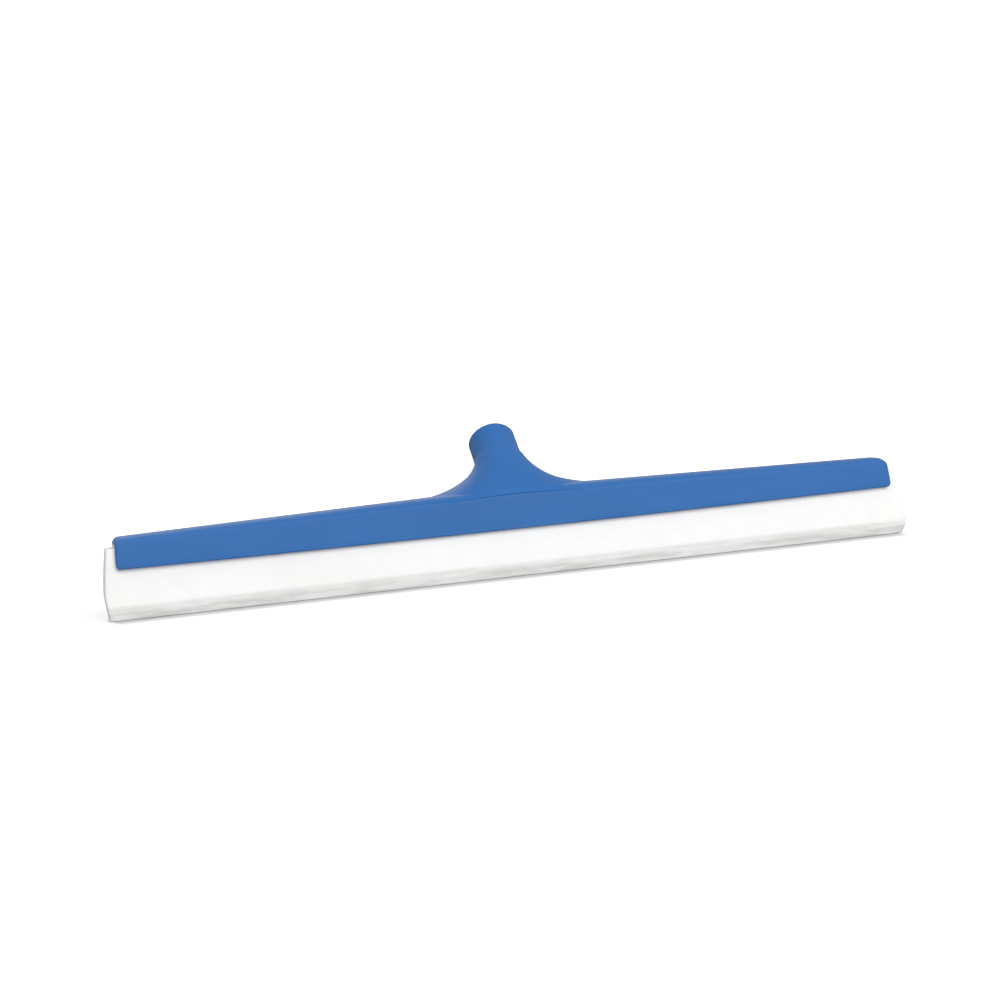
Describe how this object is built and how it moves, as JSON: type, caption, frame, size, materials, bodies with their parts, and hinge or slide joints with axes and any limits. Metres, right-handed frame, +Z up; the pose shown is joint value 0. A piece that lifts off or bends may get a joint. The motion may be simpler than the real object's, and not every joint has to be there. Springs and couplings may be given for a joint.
{
  "type": "floor squeegee head",
  "caption": "Long moulded floor squeegee bar with a leaning threaded handle socket and a slide-in cassette holding two soft cellular-rubber blades.",
  "frame": {"origin": "the middle of the footprint of the whole object, on the plane that the blade lips stand on", "axes": "+X along the bar, +Z up from the blade lips to the bar, -Y the front, +Y the side that the handle socket leans to"},
  "size_m": [0.6, 0.077, 0.1109],
  "materials": {
    "head_plastic": "satin injection-moulded polypropylene, mid blue",
    "carrier_plastic": "satin white polypropylene",
    "blade_rubber": "matt white closed-cell rubber with a fine open skin"
  },
  "bodies": {
    "head": {"head": "head_plastic"},
    "cassette": {"carrier": "carrier_plastic"},
    "front_blade": {"front_blade": "blade_rubber"},
    "rear_blade": {"rear_blade": "blade_rubber"}
  },
  "joints": [
    {"name": "cassette_slide", "type": "slide", "parent": "head", "child": "cassette", "axis": [1, 0, 0], "range_m": [-0.575, 0.575]},
    {"name": "front_blade_flex", "type": "hinge", "parent": "cassette", "child": "front_blade", "pos_m": [0, -0.02917, 0.037], "axis": [1, 0, 0], "range_deg": [-20, 20], "stiffness_Nm_per_rad": 2, "deforming": ["front_blade"]},
    {"name": "rear_blade_flex", "type": "hinge", "parent": "cassette", "child": "rear_blade", "pos_m": [0, -0.01287, 0.037], "axis": [1, 0, 0], "range_deg": [-20, 20], "stiffness_Nm_per_rad": 2, "deforming": ["rear_blade"]}
  ],
  "couplings": [
    {"joint": "rear_blade_flex", "follows": "front_blade_flex", "ratio": 1}
  ]
}
